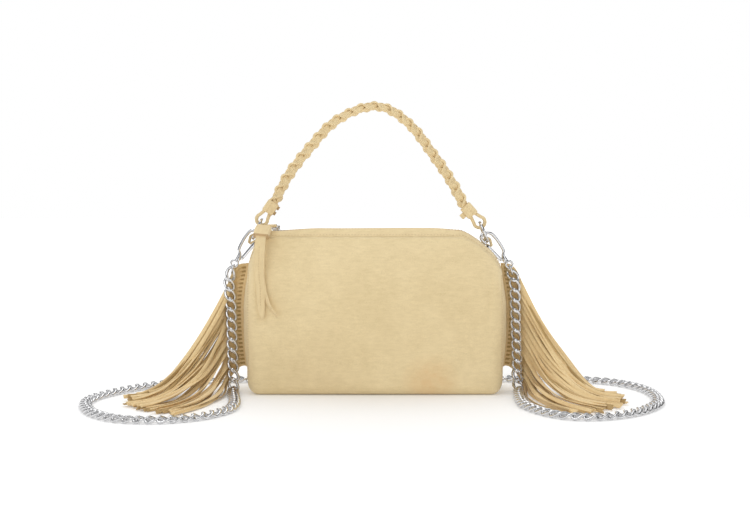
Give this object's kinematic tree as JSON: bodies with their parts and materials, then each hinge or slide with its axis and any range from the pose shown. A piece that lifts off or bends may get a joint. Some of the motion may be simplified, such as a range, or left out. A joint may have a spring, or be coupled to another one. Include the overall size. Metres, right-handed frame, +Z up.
{
  "type": "fringed suede handbag",
  "caption": "Small zip-top suede handbag with long side fringes, a braided arched top handle and a detachable metal chain strap laid round it.",
  "frame": {"origin": "centre of the base, on the surface the bag stands on", "axes": "+X along the bag to the viewer's right, -Y out of the front panel, +Z up"},
  "size_m": [0.5534, 0.2345, 0.2896],
  "materials": {
    "suede": "pale sand suede",
    "fringe_suede": "deeper sand suede",
    "polished_steel": "bright plated metal",
    "lining_cloth": "plain cloth",
    "board": "stiffening board",
    "zip_tape": "woven tape"
  },
  "bodies": {
    "bag": {"body_wrap": "suede", "left_gusset": "suede", "right_gusset": "suede", "front_zip_band": "suede", "back_zip_band": "suede", "front_zip_tape": "zip_tape", "back_zip_tape": "zip_tape", "zip_teeth": "polished_steel", "lining": "lining_cloth", "base_board": "board", "left_tab": "suede", "right_tab": "suede", "left_ring": "polished_steel", "right_ring": "polished_steel", "left_hook": "polished_steel", "right_hook": "polished_steel", "left_jump_ring": "polished_steel", "right_jump_ring": "polished_steel", "chain_strap": "polished_steel", "left_fringe": "fringe_suede", "right_fringe": "fringe_suede"},
    "handle": {"braid_strand_1": "suede", "braid_strand_2": "suede", "braid_strand_3": "suede", "left_handle_sleeve": "suede", "right_handle_sleeve": "suede", "left_handle_loop": "suede", "right_handle_loop": "suede"},
    "slider": {"zip_slider": "polished_steel"},
    "pull": {"zip_pull_ring": "polished_steel", "pull_strap": "suede", "pull_keeper": "suede"},
    "left_gate": {"left_gate": "polished_steel"},
    "right_gate": {"right_gate": "polished_steel"},
    "left_swivel": {"left_swivel": "polished_steel"},
    "right_swivel": {"right_swivel": "polished_steel"}
  },
  "joints": [
    {"name": "zip_slide", "type": "slide", "parent": "bag", "child": "slider", "axis": [1, 0, 0], "range_m": [0, 0.176]},
    {"name": "pull_swing", "type": "hinge", "parent": "slider", "child": "pull", "pos_m": [-0.099, 0, 0.1649], "axis": [1, 0, 0], "range_deg": [-50, 0]},
    {"name": "handle_swing", "type": "hinge", "parent": "bag", "child": "handle", "pos_m": [0, 0, 0.16055], "axis": [1, 0, 0], "range_deg": [-35, 35]},
    {"name": "left_gate_hinge", "type": "hinge", "parent": "bag", "child": "left_gate", "pos_m": [-0.13218, -0.006, 0.13337], "axis": [0, 1, 0], "range_deg": [-22, 0], "stiffness_Nm_per_rad": 0.01},
    {"name": "left_swivel_turn", "type": "hinge", "parent": "bag", "child": "left_swivel", "pos_m": [-0.13653, -0.006, 0.13192], "axis": [-0.6428, 0, -0.766], "range_deg": [-20, 20]},
    {"name": "right_gate_hinge", "type": "hinge", "parent": "bag", "child": "right_gate", "pos_m": [0.12548, -0.006, 0.13179], "axis": [0, 1, 0], "range_deg": [0, 22], "stiffness_Nm_per_rad": 0.01},
    {"name": "right_swivel_turn", "type": "hinge", "parent": "bag", "child": "right_swivel", "pos_m": [0.12993, -0.006, 0.1307], "axis": [0.7034, 0, -0.7108], "range_deg": [-20, 20]}
  ]
}
